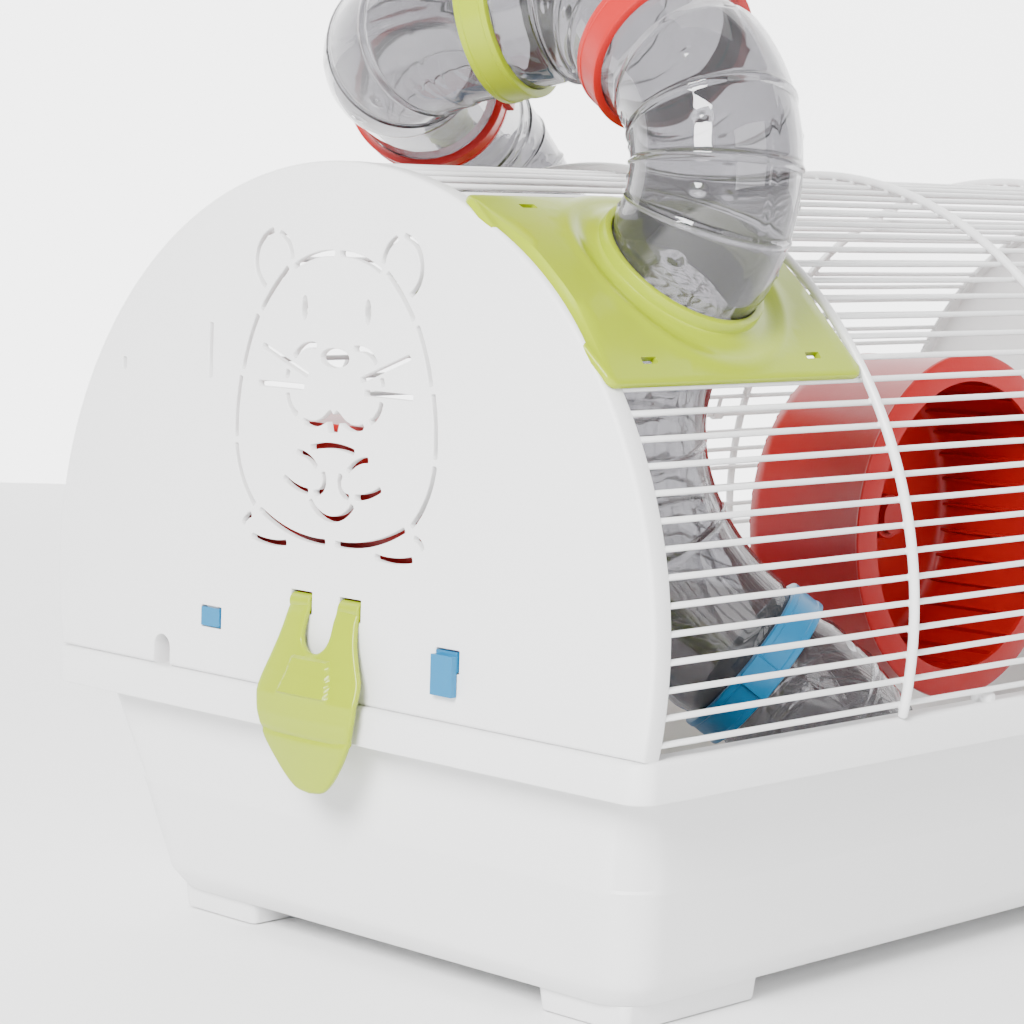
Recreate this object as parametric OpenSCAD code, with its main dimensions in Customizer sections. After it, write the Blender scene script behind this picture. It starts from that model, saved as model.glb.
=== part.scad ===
// Hamster cage: a deep white tray, an arched wire canopy between two moulded end
// panels, a loop of clear tunnels over the roof, and a wheel, shelf, house and
// ladder inside. +Z is up, X runs along the cage, the patterned front panel is at
// -X, and the origin is on the ground under the middle of the tray.

/* [Cage] */
// Length over the tray's rim
cage_l = 510; // [430:1:640]
// Width over the tray's rim
cage_w = 290; // [270:1:350]
// Height of the tray's rim above the ground
tray_h = 95; // [85:1:120]
// Height of the arched roof above the tray's rim
arch_h = 178; // [165:1:215]

/* [Tray] */
// Height of the feet
foot_h = 8; // [6:0.5:12]
// Wall of the tray
tray_wall = 2.4; // [1.8:0.1:3]
// Depth of the rim's outer lip
lip_h = 13; // [10:0.5:14]
// How far the walls lean in from top to bottom
taper = 18.5; // [14:0.5:20]

/* [Canopy] */
// Thickness of the end panels
panel_t = 2.6; // [2.2:0.1:3]
// Depth of the flange around each end panel
flange = 8; // [6:0.5:10]
// Diameter of the long bars
bar_d = 2; // [1.6:0.1:2.2]
// Number of long bars round the arch
bar_n = 61; // [55:2:61]
// Diameter of the hoops
hoop_d = 3.4; // [3:0.1:4]

/* [Tunnels] */
// Outside diameter of the clear tunnels
tube_d = 54; // [45:0.5:56]
// Wall of the tunnels
tube_wall = 1.8; // [1.4:0.1:2.2]
// Radius of the elbows on their centre line
elbow_r = 42; // [40:0.5:50]
// Slope of the two roof ports, from upright
port_tilt = 40; // [38:0.5:42]
// Length of the coloured connector rings
ring_l = 12; // [10:0.5:14]

/* [Furniture] */
// Outside diameter of the exercise wheel
wheel_d = 137; // [114:1:140]
// Depth of the exercise wheel
wheel_w = 60; // [50:1:62]
// Height of the wheel's axle above the tray's rim
axle_up = 42.6; // [38:0.5:48]
// Height of the shelf above the tray's rim
shelf_up = 16; // [14:0.5:18]
// Height of the nest house
house_h = 72; // [60:1:80]

/* [Hidden] */
$fn = 64;
eps = 0.01;

// Colours
white = [0.93, 0.93, 0.93];
lime = [0.74, 0.80, 0.22];
red = [0.78, 0.20, 0.20];
blue = [0.18, 0.48, 0.66];
clear = [0.82, 0.85, 0.88, 0.35];

// Arch: a circle through both edges of the panel's foot and the crown
rim_out = 2.5;
foot_y = cage_w / 2 - rim_out;
arch_r = (foot_y * foot_y + arch_h * arch_h) / (2 * arch_h);
arch_z = tray_h + arch_h - arch_r;
end_x = cage_l / 2 - rim_out;

// Hoops stand at the quarters of the length
hoop_x = [-end_x / 2, 0, end_x / 2];
bar_r = arch_r - panel_t / 2;
weld = 0.15;
hoop_r = bar_r + bar_d / 2 + hoop_d / 2 - weld;
bar_low = 4.5;
bar_end = 90 + asin((arch_z - tray_h - bar_low) / bar_r);
bar_step = 2 * bar_end / (bar_n - 1);
bar_pitch = bar_r * bar_step * PI / 180;

// Port plates: their reach round the arch and along X
plate_t = 2.5;
plate_gap = 0.4;
plate_a0 = port_tilt - 16.5;
plate_a1 = port_tilt + 17.5;
plate_x0 = -end_x;
plate_x1 = hoop_x[0] - hoop_d / 2 - 0.6;
// Each tunnel hole sits a little towards the rear of the middle of its plate
port_shift = [2, 5.7];
port_x = (plate_x0 + plate_x1) / 2 + port_shift[0];
port_far_x = (hoop_x[0] + hoop_x[1]) / 2 + port_shift[1];
collar_h = 6;
collar_t = 2.4;
tube_r = tube_d / 2;
bore_r = tube_r + 0.2;
swell = 0.8;
lap = 2;

// Directions of the tunnel loop, as compass heading from +X and climb
function dir(heading, climb) =
    [cos(climb) * cos(heading), cos(climb) * sin(heading), sin(climb)];
function unit(v) = v / norm(v);
function turn(a, b) = acos(unit(a) * unit(b));
function past_bend(p, a, b, r) = p + r * tan(turn(a, b) / 2) * (a + b);

up_near = [0, -sin(port_tilt), cos(port_tilt)];
up_far = [0, sin(port_tilt), cos(port_tilt)];
go_1 = dir(78.3, 32.7);
go_2 = dir(107.5, -11.9);
go_3 = dir(34, -10.3);
start_h = arch_r + collar_h + 0.4;
stub_drop = 5.7;
sleeve_h = 7;
near_start = [port_x, 0, arch_z] + start_h * up_near;
far_end = [port_far_x, 0, arch_z] + start_h * up_far;

// The three straights close the loop on the far port
gap = far_end - near_start
    - elbow_r * (tan(turn(up_near, go_1) / 2) * (up_near + go_1)
    + tan(turn(go_1, go_2) / 2) * (go_1 + go_2)
    + tan(turn(go_2, go_3) / 2) * (go_2 + go_3)
    + tan(turn(go_3, -up_far) / 2) * (go_3 - up_far));
volume = go_1 * cross(go_2, go_3);
straight_1 = gap * cross(go_2, go_3) / volume;
straight_2 = gap * cross(go_3, go_1) / volume;
straight_3 = gap * cross(go_1, go_2) / volume;

p1 = past_bend(near_start, up_near, go_1, elbow_r);
p2 = p1 + straight_1 * go_1;
p3 = past_bend(p2, go_1, go_2, elbow_r);
p4 = p3 + straight_2 * go_2;
p5 = past_bend(p4, go_2, go_3, elbow_r);
p6 = p5 + straight_3 * go_3;

// Inner tunnel: a long bend down from the near port, then a bend to the floor
in_0 = -up_near;
in_1 = dir(-46, -37);
in_2 = dir(22, -36);
in_r = 97;
in_start = [port_x, 0, arch_z] + (arch_r - sleeve_h - 1) * up_near;
q1 = past_bend(in_start, in_0, in_1, in_r);
in_straight = 16;
q2 = q1 + in_straight * in_1;
end_r = 48;
q3 = past_bend(q2, in_1, in_2, end_r);
end_straight = 50;

// Tray
rim_r = 8;
ledge = 9;
ledge_t = 2.5;
wall_in = 8.5;
floor_z = foot_h + tray_wall;
lean_z = foot_h + 8;
foot_l = 66;
foot_w = 40;
peg_r = 2.2;
peg_y = bar_r * sin(bar_end) - bar_d / 2 - peg_r - 0.7;

// Windows and slots of the end panels, from the panel's middle and the rim
clip_y = 12;
clip_z = 30.7;
window_w = 10.6;
window_h = 7.4;
hook_y = 58.5;
hook_z = 20;
slot_w = 1.9;
hamster_y = -1.5;
keyhole_y = 85;
keyhole_r = 4.3;
pin_r = 1.5;
pin_in = 1.7;

// Clips
clip_gap = 0.5;
barrel_r = 2.9;
clip_w = 48;

// Side door, between the second and third hoops on the far side
hinge_i = bar_n - 9;
door_top_i = bar_n - 21;
door_x0 = hoop_x[1] + 4.4;
door_x1 = hoop_x[2] - 4.4;
run = 0.06;
eye_r = 2.3;

// Shelf and ladder
shelf_t = 2.4;
shelf_z = tray_h + shelf_up;
shelf_x0 = -end_x + panel_t + 0.6;
shelf_mid = -end_x + 84;
shelf_x1 = -end_x + 212;
shelf_y0 = -46;
shelf_y1 = 66;
arm_y0 = 40;
arm_y1 = 108;
ladder_y = 74;
ladder_w = 44;
ladder_drop = shelf_z - floor_z - 5;
ladder_run = 190;
ladder_hinge_x = shelf_x1 + 4.6;
ladder_hinge_z = shelf_z - 2.6;
rod_r = 2;

// Wheel
wheel_x = 50;
wheel_y = -40;
wheel_z = tray_h + axle_up;
wheel_r = wheel_d / 2;
axle_r = 3;
wheel_t = 2.2;

module rounded_slab(l, w, h, r) {
    linear_extrude(h)
        union() {
            square([l - 2 * r, w], center = true);
            square([l, w - 2 * r], center = true);
            for (sx = [-1, 1])
                for (sy = [-1, 1])
                    translate([sx * (l / 2 - r), sy * (w / 2 - r)])
                        circle(r);
        }
}

// A level of the tray, inset all round from the rim's outline
module tray_level(inset, z, h, r) {
    translate([0, 0, z])
        rounded_slab(cage_l - 2 * inset, cage_w - 2 * inset, h, r);
}

// The walls lean in to lean_z, then turn in by six more to the bottom
module tray_body(shrink, bottom, top) {
    hull() {
        tray_level(wall_in + shrink, tray_h - 1, top - tray_h + 1, 16);
        tray_level(wall_in + taper + shrink, lean_z, 1, 16);
        tray_level(wall_in + taper + shrink + 6, bottom, 1, 14);
    }
}

module tray() {
    color(white)
    difference() {
        union() {
            tray_body(0, foot_h, tray_h);
            tray_level(0, tray_h - ledge_t, ledge_t, rim_r);
            difference() {
                tray_level(0, tray_h - lip_h, lip_h - eps, rim_r);
                tray_level(tray_wall, tray_h - lip_h - 1, lip_h + 1, rim_r - tray_wall);
            }
            for (sx = [-1, 1])
                for (sy = [-1, 1])
                    translate([sx * (cage_l / 2 - wall_in - taper - 8 - foot_l / 2),
                        sy * (cage_w / 2 - wall_in - taper - 8 - foot_w / 2), (foot_h + 1) / 2])
                        cube([foot_l, foot_w, foot_h + 1], center = true);
            // Pegs that keep the canopy in place on the rim
            for (sx = [-1, 1])
                for (sy = [-1, 1])
                    translate([sx * end_x * 0.29, sy * peg_y, tray_h - 0.5])
                        cylinder(h = 5.5, r = peg_r);
        }
        tray_body(tray_wall, floor_z, tray_h + 1);
    }
}

// Things on a port axis: local +Z points out of the roof, local +X along the cage
module at_port(x, side) {
    translate([x, 0, arch_z])
        rotate([side * port_tilt, 0, 0])
            children();
}

// Places local +Z along direction d at point p
module along(p, d) {
    e = unit(cross(d, abs(d[2]) < 0.9 ? [0, 0, 1] : [1, 0, 0]));
    f = cross(d, e);
    multmatrix([
        [e[0], f[0], d[0], p[0]],
        [e[1], f[1], d[1], p[1]],
        [e[2], f[2], d[2], p[2]],
        [0, 0, 0, 1]])
        children();
}

module arc_rod(p, a, b, r, rad) {
    e = unit(b - (a * b) * a);
    c = p + r * e;
    k = cross(a, e);
    multmatrix([
        [-e[0], a[0], k[0], c[0]],
        [-e[1], a[1], k[1], c[1]],
        [-e[2], a[2], k[2], c[2]],
        [0, 0, 0, 1]])
        rotate_extrude(angle = turn(a, b))
            translate([r, 0])
                circle(rad);
}

// A clear tunnel: a swollen bend between two straight ends of its own
module tunnel(p, a, b, r, l0, l1) {
    q = past_bend(p, a, b, r);
    difference() {
        union() {
            along(p - l0 * a, a) cylinder(h = l0 + lap, r = tube_r);
            arc_rod(p, a, b, r, tube_r + swell);
            along(q - lap * b, b) cylinder(h = l1 + lap, r = tube_r);
        }
        union() {
            along(p - (l0 + 1) * a, a) cylinder(h = l0 + 1 + lap, r = tube_r - tube_wall);
            arc_rod(p, a, b, r, tube_r - tube_wall + swell);
            along(q - lap * b, b) cylinder(h = l1 + 1 + lap, r = tube_r - tube_wall);
        }
    }
}

// A connector ring round the joint of two tunnels, with a small latch tab
module ring(p, d) {
    along(p - ring_l / 2 * d, d)
        difference() {
            union() {
                cylinder(h = ring_l, r = tube_r + 3);
                translate([tube_r + 3.2, 0, ring_l / 2])
                    cube([4, 11, ring_l], center = true);
            }
            translate([0, 0, -1])
                cylinder(h = ring_l + 2, r = tube_r + 0.15);
        }
}

module arc_slot(y, z, r, a0, a1, w = slot_w) {
    translate([0, y, z])
        rotate([90, 0, 90])
            rotate([0, 0, a0])
                rotate_extrude(angle = a1 - a0)
                    translate([r, 0])
                        square([w, 12], center = true);
}

// A straight slot from a to b, each as [y, z]
module line_slot(a, b, w = slot_w) {
    d = b - a;
    translate([0, (a[0] + b[0]) / 2, (a[1] + b[1]) / 2])
        rotate([atan2(d[1], d[0]), 0, 0])
            cube([12, norm(d), w], center = true);
}

// Centre of the circle through three points
function centre(a, m, b) =
    let (
        twice = 2 * (a[0] * (m[1] - b[1]) + m[0] * (b[1] - a[1]) + b[0] * (a[1] - m[1])),
        aa = a * a,
        mm = m * m,
        bb = b * b
    )
    [
        (aa * (m[1] - b[1]) + mm * (b[1] - a[1]) + bb * (a[1] - m[1])) / twice,
        (aa * (b[0] - m[0]) + mm * (a[0] - b[0]) + bb * (m[0] - a[0])) / twice
    ];
function heading_of(v) = atan2(v[1], v[0]);
function sweep(from, to) = to > from ? to - from : to - from + 360;

// A bowed slot from a to b by way of m, each as [y, z]
module bow(a, m, b, w = slot_w) {
    c = centre(a, m, b);
    left_turn = (m[0] - a[0]) * (b[1] - a[1]) > (m[1] - a[1]) * (b[0] - a[0]);
    from = heading_of((left_turn ? a : b) - c);
    to = heading_of((left_turn ? b : a) - c);
    arc_slot(c[0], c[1], norm(a - c), from, from + sweep(from, to), w);
}

module mirrored() {
    children();
    mirror([0, 1, 0]) children();
}

module oval_slot(y, z, half_y, half_z) {
    translate([0, y, z])
        scale([1, half_y / half_z, 1])
            rotate([0, 90, 0])
                cylinder(h = 12, r = half_z, center = true);
}

// A sitting hamster with something in its paws, cut as separate strokes
module hamster_cuts() {
    mirrored() {
        // Ear, head and body
        bow([32.4, 154.1], [40.3, 146.1], [35.8, 135.4]);
        bow([28.5, 153.3], [24.1, 150], [22.3, 145.4]);
        bow([20.8, 142.5], [12.5, 146], [1.6, 147.4]);
        bow([24.6, 141.6], [31.5, 134.8], [37.1, 127.6]);
        bow([39.3, 125], [43, 117], [46, 107]);
        bow([47.2, 103.7], [48.7, 93.7], [48.8, 83.8]);
        bow([48.7, 80.6], [45.4, 70.2], [38.9, 61.2]);
        bow([35.3, 59.4], [20.7, 53.6], [2.8, 51.7]);
        bow([39.2, 50.2], [30.9, 49], [22.2, 49.5]);
        bow([44.1, 54.3], [42.7, 56.2], [40.5, 57.3], 1.4);
        // Cheek, paw and arm
        bow([19.8, 112.5], [15.8, 115.8], [9.6, 116.5]);
        bow([23, 99.4], [21.7, 96.1], [18.1, 92.9]);
        bow([17.1, 80.5], [11.6, 79.1], [8, 76.4]);
        bow([4.3, 74.4], [3.9, 70.3], [8.2, 67.6]);
        bow([23.5, 71.4], [18, 68.9], [12, 67.8]);
        // Whiskers
        line_slot([35.8, 115.1], [13.4, 106.5]);
        line_slot([37.5, 102.3], [15.3, 102.4]);
        line_slot([22.9, 107.6], [23.6, 105.4], 1.4);
        oval_slot(15.5, 128.8, 1.5, 4.1);
    }
    oval_slot(0, 112.9, 7.1, 3.2);
    bow([10.3, 82.6], [0, 83.9], [-10.3, 82.6]);
    bow([10.3, 64.7], [0, 59.6], [-10.3, 64.7]);
    // Mouth and teeth, in one cut
    translate([-6, 0, 0])
        rotate([90, 0, 90])
            linear_extrude(12) {
                mouth_half();
                mirror([1, 0]) mouth_half();
            }
}

module mouth_half() {
    polygon([
        [-0.1, 94.2], [0.6, 94.6], [1.5, 95.8], [3.8, 94.2], [6, 92.6], [8.9, 91.5], [12, 91.4],
        [14.9, 92.2], [14.6, 90.2], [12, 89.5], [8.9, 89.4], [6.2, 90.1], [2.9, 91.8], [2.2, 88.2],
        [-0.1, 88.2]
    ]);
}

module panel_cuts() {
    translate([0, hamster_y, 0])
        hamster_cuts();
    line_slot([62, 102.4], [62, 121.6]);
    line_slot([109.5, 102.4], [109.5, 107]);
    for (sy = [-1, 1]) {
        translate([0, sy * clip_y, clip_z])
            cube([12, window_w, window_h], center = true);
        translate([0, sy * hook_y, hook_z])
            cube([12, window_w, window_h], center = true);
    }
    translate([0, keyhole_y, 0]) {
        translate([0, 0, 3.2])
            cube([12, 2 * keyhole_r, 7], center = true);
        translate([0, 0, 6.4])
            rotate([0, 90, 0])
                cylinder(h = 12, r = keyhole_r, center = true);
    }
}

// An end panel with its patterned face towards -X
module end_panel() {
    color(white) {
        difference() {
            intersection() {
                translate([-end_x, 0, arch_z])
                    rotate([0, 90, 0])
                        difference() {
                            cylinder(h = flange, r = arch_r, $fn = 128);
                            translate([0, 0, panel_t])
                                cylinder(h = flange, r = arch_r - panel_t, $fn = 128);
                        }
                translate([-end_x - 1, -cage_w / 2, tray_h])
                    cube([flange + 2, cage_w, arch_h + 10]);
            }
            translate([-end_x + panel_t / 2, 0, tray_h])
                intersection() {
                    panel_cuts();
                    cube([panel_t + 2, 2 * cage_w, 4 * arch_h], center = true);
                }
        }
        difference() {
            translate([-end_x + panel_t - eps, -foot_y + 3, tray_h])
                cube([flange - panel_t, 2 * foot_y - 6, 2.4]);
            translate([-end_x, keyhole_y - keyhole_r, tray_h - 1])
                cube([flange + 2, 2 * keyhole_r, 5]);
        }
        // Hinge pins of the clip across the two upper windows
        for (sy = [-1, 1])
            translate([-end_x + pin_in, sy * clip_y, tray_h + clip_z])
                rotate([90, 0, 0])
                    cylinder(h = window_w + 4, r = pin_r, center = true);
    }
}

module end_panel_front() {
    end_panel();
}

module end_panel_rear() {
    rotate([0, 0, 180]) end_panel();
}

// Side view of the clip: x out of the panel's face, y up from the rim
module clip_side() {
    polygon([
        [-1.7, clip_z + 1.2], [0.8, clip_z - 0.6], [2.6, clip_z - 3.4], [4.6, 20], [7.2, 8],
        [10, 1], [10.4, -6], [9, -15], [5.6, -31],
        [3.4, -31], [5, -18], [4.6, -16.6], [-0.6, -15.6], [-0.6, -lip_h - clip_gap],
        [5.2, -lip_h - clip_gap], [7.4, -6], [7, 0], [4.2, 8], [2, 20], [0.9, clip_z - 4],
        [-1.7, clip_z - 1.6]]);
}

// Front view of the clip: x across, y up from the rim
module clip_face() {
    difference() {
        union() {
            polygon([
                [-17, 36], [17, 36], [18.5, 14], [clip_w / 2, 4], [clip_w / 2, -6],
                [7, -27], [-7, -27], [-clip_w / 2, -6], [-clip_w / 2, 4], [-18.5, 14]]);
            translate([0, -24.3]) circle(7.2);
        }
        translate([-6.8, 22]) square([13.6, 20]);
        translate([0, 22]) circle(6.8);
    }
}

module clip() {
    color(lime)
    difference() {
        union() {
            intersection() {
                translate([-end_x, 0, tray_h])
                    rotate([90, 0, 0])
                        mirror([1, 0, 0])
                            linear_extrude(clip_w + 10, center = true)
                                clip_side();
                translate([-end_x - 20, 0, tray_h])
                    rotate([90, 0, 90])
                        linear_extrude(40)
                            clip_face();
            }
            for (sy = [-1, 1])
                translate([-end_x + pin_in, sy * clip_y, tray_h + clip_z])
                    rotate([90, 0, 0])
                        cylinder(h = window_w - 0.8, r = barrel_r, center = true);
        }
        for (sy = [-1, 1])
            translate([-end_x + pin_in, sy * clip_y, tray_h + clip_z])
                rotate([90, 0, 0])
                    cylinder(h = window_w + 6, r = pin_r + run, center = true);
        // Side cuts that keep the legs clear of the window's cheeks
        for (sy = [-1, 1])
            for (s = [-1, 1])
                translate([-end_x - 1, sy * clip_y + s * window_w, tray_h + clip_z + 2])
                    cube([12, window_w + 0.8, 14], center = true);
    }
}

module clip_front() {
    clip();
}

module clip_rear() {
    rotate([0, 0, 180]) clip();
}

function bar_a(i) = -bar_end + i * bar_step;
function near_hole(a) = abs(a + port_tilt) < 14;
function far_hole(a) = abs(a - port_tilt) < 14;

module bar(a, x0, x1) {
    translate([x0, bar_r * sin(a), arch_z + bar_r * cos(a)])
        rotate([0, 90, 0])
            cylinder(h = x1 - x0, r = bar_d / 2, $fn = 24);
}

module canopy_bars() {
    x_end = end_x - panel_t - 1;
    over = 1.4;
    color(white)
    for (i = [0 : bar_n - 1]) {
        a = bar_a(i);
        in_door = i > door_top_i && i < hinge_i;
        if (near_hole(a))
            bar(a, hoop_x[0] - over, x_end);
        else if (far_hole(a) && in_door) {
            bar(a, -x_end, hoop_x[0] + over);
            bar(a, hoop_x[2] - over, x_end);
        }
        else if (far_hole(a)) {
            bar(a, -x_end, hoop_x[0] + over);
            bar(a, hoop_x[1] - over, x_end);
        }
        else if (in_door) {
            bar(a, -x_end, hoop_x[1] + over);
            bar(a, hoop_x[2] - over, x_end);
        }
        else
            bar(a, -x_end, x_end);
    }
}

module canopy_hoops() {
    color(white)
    for (x = hoop_x)
        intersection() {
            translate([x, 0, arch_z])
                rotate([0, 90, 0])
                    rotate([0, 0, 90])
                        rotate_extrude($fn = 96)
                            translate([hoop_r, 0])
                                circle(hoop_d / 2, $fn = 24);
            translate([x - 5, -cage_w, tray_h + 0.2])
                cube([10, 2 * cage_w, 2 * arch_h]);
        }
}

module side_door() {
    a_low = bar_a(hinge_i - 1);
    a_top = bar_a(door_top_i + 1);
    color(white)
    difference() {
        union() {
            for (i = [door_top_i + 1 : hinge_i - 1])
                bar(bar_a(i), door_x0, door_x1);
            for (x = [door_x0, (door_x0 + door_x1) / 2, door_x1])
                translate([x, 0, arch_z])
                    rotate([0, 90, 0])
                        rotate([0, 0, 180 - a_low])
                            rotate_extrude(angle = a_low - a_top)
                                translate([bar_r, 0])
                                    circle(1.2, $fn = 24);
            // Hinge eyes round the canopy's bar
            for (x = [door_x0 + 16, door_x1 - 16])
                translate([x - 3, 0, arch_z]) {
                    rotate([90 - bar_a(hinge_i), 0, 0])
                        translate([0, bar_r, 0])
                            rotate([0, 90, 0])
                                cylinder(h = 6, r = eye_r);
                    rotate([90 - (bar_a(hinge_i) + a_low) / 2, 0, 0])
                        translate([0, bar_r - 0.7, eye_r - 0.2 - bar_pitch / 2])
                            cube([6, 1.4, bar_pitch - eye_r + 0.2]);
                }
            // Latch: a curled finger loop over the bar above the door
            translate([(door_x0 + door_x1) / 2 - 5, 0, arch_z])
                rotate([90 - a_top, 0, 0]) {
                    translate([0, bar_r, -1])
                        cube([10, 3.2, 3]);
                    translate([0, bar_r + 1.4, -1])
                        cube([10, 1.8, 15]);
                }
        }
        bar_bore(hinge_i);
    }
}

module bar_bore(i) {
    a = bar_a(i);
    translate([hoop_x[1], bar_r * sin(a), arch_z + bar_r * cos(a)])
        rotate([0, 90, 0])
            cylinder(h = hoop_x[2] - hoop_x[1], r = bar_d / 2 + run);
}

// A roof plate that grips the bars and holds a tunnel; x is the port's place
module port_plate(x0, x1, x, side) {
    r0 = arch_r + plate_gap;
    r1 = r0 + plate_t;
    mid = (plate_a0 + plate_a1) / 2;
    half = (plate_a1 - plate_a0) / 2;
    color(lime)
    difference() {
        union() {
            intersection() {
                translate([x0, 0, arch_z])
                    rotate([0, 90, 0])
                        difference() {
                            cylinder(h = x1 - x0, r = r1, $fn = 128);
                            translate([0, 0, -1])
                                cylinder(h = x1 - x0 + 2, r = r0, $fn = 128);
                        }
                translate([0, 0, arch_z])
                    rotate([side * mid, 0, 0])
                        translate([-cage_l, -r1 * sin(half), 0])
                            cube([2 * cage_l, 2 * r1 * sin(half), 2 * arch_r]);
            }
            difference() {
                at_port(x, side)
                    translate([0, 0, r0 - 4])
                        cylinder(h = 6.6, r1 = 47, r2 = bore_r + collar_t + 1.5);
                translate([x0 - 20, 0, arch_z])
                    rotate([0, 90, 0])
                        cylinder(h = x1 - x0 + 40, r = r0 + 0.2, $fn = 128);
            }
            at_port(x, side)
                translate([0, 0, arch_r - sleeve_h])
                    cylinder(h = sleeve_h + collar_h, r = bore_r + collar_t);
        }
        at_port(x, side)
            cylinder(h = 2 * arch_r, r = bore_r);
        for (a = [plate_a0 + 3.2, plate_a1 - 3.2])
            for (sx = [-1, 1])
                translate([(x0 + x1) / 2 + sx * ((x1 - x0) / 2 - 22), 0, arch_z])
                    rotate([side * a, 0, 0])
                        translate([0, 0, arch_r])
                            cube([7, 2.4, 12], center = true);
    }
}

module port_plate_near() {
    port_plate(plate_x0, plate_x1, port_x, 1);
}

module port_plate_far() {
    port_plate(hoop_x[0] + hoop_d / 2 + 0.6, hoop_x[1] - hoop_d / 2 - 0.6, port_far_x, -1);
}

// The near port's two tunnels meet inside its collar
stub = collar_h + 0.4 + stub_drop;
module tunnel_near_elbow() {
    color(clear) tunnel(near_start, up_near, go_1, elbow_r, stub, straight_1 / 2 - 0.1);
}

module tunnel_top_elbow() {
    color(clear) tunnel(p2, go_1, go_2, elbow_r, straight_1 / 2 - 0.1, straight_2 / 2 - 0.1);
}

module tunnel_far_elbow() {
    color(clear) tunnel(p4, go_2, go_3, elbow_r, straight_2 / 2 - 0.1, straight_3 / 2 - 0.1);
}

module tunnel_port_elbow() {
    color(clear) tunnel(p6, go_3, -up_far, elbow_r, straight_3 / 2 - 0.1, collar_h + sleeve_h + 2);
}

module ring_near() {
    color(red) ring((p1 + p2) / 2, go_1);
}

module ring_top() {
    color(lime) ring((p3 + p4) / 2, go_2);
}

module ring_far() {
    color(red) ring((p5 + p6) / 2, go_3);
}

module tunnel_inner_bend() {
    color(clear) tunnel(in_start, in_0, in_1, in_r, sleeve_h + 0.6 - stub_drop, in_straight / 2 - 0.1);
}

module ring_inner() {
    color(blue) ring((q1 + q2) / 2, in_1);
}

module tunnel_floor_end() {
    color(clear) tunnel(q2, in_1, in_2, end_r, in_straight / 2 - 0.1, end_straight);
}

// Shelf: hooked through the front panel's lower windows, with an arm to the ladder
module shelf() {
    color(blue)
    difference() {
        union() {
            translate([shelf_x0, shelf_y0, shelf_z - shelf_t])
                cube([shelf_mid - shelf_x0, shelf_y1 - shelf_y0, shelf_t]);
            translate([shelf_mid - 30, arm_y0, shelf_z - shelf_t])
                cube([shelf_x1 - shelf_mid + 30, arm_y1 - arm_y0, shelf_t]);
            // Stiffening rims under the edges
            translate([shelf_x0, shelf_y0, shelf_z - 7])
                cube([shelf_mid - shelf_x0, 2, 7]);
            translate([shelf_mid - 2, shelf_y0, shelf_z - 7])
                cube([2, arm_y0 - shelf_y0 + 2, 7]);
            translate([shelf_mid - 2, arm_y0, shelf_z - 7])
                cube([shelf_x1 - shelf_mid + 2, 2, 7]);
            translate([shelf_mid - 30, arm_y1 - 2, shelf_z - 7])
                cube([shelf_x1 - shelf_mid + 30, 2, 7]);
            // Legs of the arm, down to the tray's floor
            for (y = [arm_y0, arm_y1 - 6])
                translate([shelf_x1 - 16, y, floor_z])
                    cube([6, 6, shelf_z - floor_z - 1]);
            // Hooks through the panel
            for (sy = [-1, 1]) {
                translate([-end_x - 0.4, sy * hook_y - 4.8, tray_h + hook_z - 3.2])
                    cube([panel_t + 4, 9.6, 6.4]);
                translate([shelf_x0, sy * hook_y - 4.8, shelf_z - shelf_t])
                    cube([3.4, 9.6, shelf_t + 6]);
            }
            translate([shelf_x0, -hook_y - 4.8, shelf_z - shelf_t])
                cube([5, hook_y + 4.8 + shelf_y0 + 1, shelf_t + 2.4]);
            translate([-end_x - 2.8, -hook_y - 4.8, tray_h + hook_z - 11])
                cube([2.4 + eps, 9.6, 13]);
            // Ladder sockets
            for (y = [ladder_y - ladder_w / 2 - 6, ladder_y + ladder_w / 2 + 0.4])
                translate([shelf_x1 - 2, y, shelf_z - 7])
                    cube([11, 5.6, 7]);
        }
        translate([ladder_hinge_x, ladder_y, ladder_hinge_z])
            rotate([90, 0, 0])
                cylinder(h = ladder_w + 12.6, r = rod_r + run, center = true);
    }
}

module ladder() {
    slope = atan(ladder_drop / ladder_run);
    length = norm([ladder_drop, ladder_run]);
    color(lime)
    translate([ladder_hinge_x, ladder_y, ladder_hinge_z])
        union() {
            rotate([90, 0, 0])
                cylinder(h = ladder_w + 11, r = rod_r, center = true);
            rotate([0, slope, 0])
                for (sy = [-1, 1])
                    translate([0, sy * (ladder_w / 2 - 2.5) - 2.5, -1.6])
                        cube([length - 2, 5, 3.2]);
            rotate([0, slope, 0])
                for (k = [1 : 11])
                    translate([k * length / 12 - 4, -ladder_w / 2 + 1, -1])
                        cube([8, ladder_w - 2, 2]);
        }
}

// Nest house: open underneath, with a round door towards the cage
house_x0 = shelf_x0 + 4.6;
house_x1 = shelf_mid - 3;
house_y0 = shelf_y0 + 8;
house_y1 = shelf_y1 - 2;
house_cut = 26;
module house_plan(inset) {
    polygon([
        [house_x0 + inset, house_y0 + inset],
        [house_x0 + 40 - inset * 0.3, house_y0 + inset],
        [house_x1 - inset, house_y0 + house_cut + inset * 0.3],
        [house_x1 - inset, house_y1 - inset],
        [house_x0 + inset, house_y1 - inset]]);
}

module nest_house() {
    door_y = (house_y0 + house_y1) / 2 + 14;
    color(red)
    difference() {
        translate([0, 0, shelf_z])
            linear_extrude(house_h) house_plan(0);
        translate([0, 0, shelf_z - 1])
            linear_extrude(house_h + 2) house_plan(2);
        translate([house_x1, door_y, shelf_z + 26])
            rotate([0, 90, 0])
                cylinder(h = 12, r = 20, center = true);
        translate([house_x1 - 6, door_y - 20, shelf_z - 1])
            cube([12, 40, 27]);
        for (y = [house_y0 + 70, house_y0 + 86])
            translate([house_x0, y, shelf_z + 50])
                rotate([0, 90, 0])
                    cylinder(h = 12, r = 3, center = true);
    }
}

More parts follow.
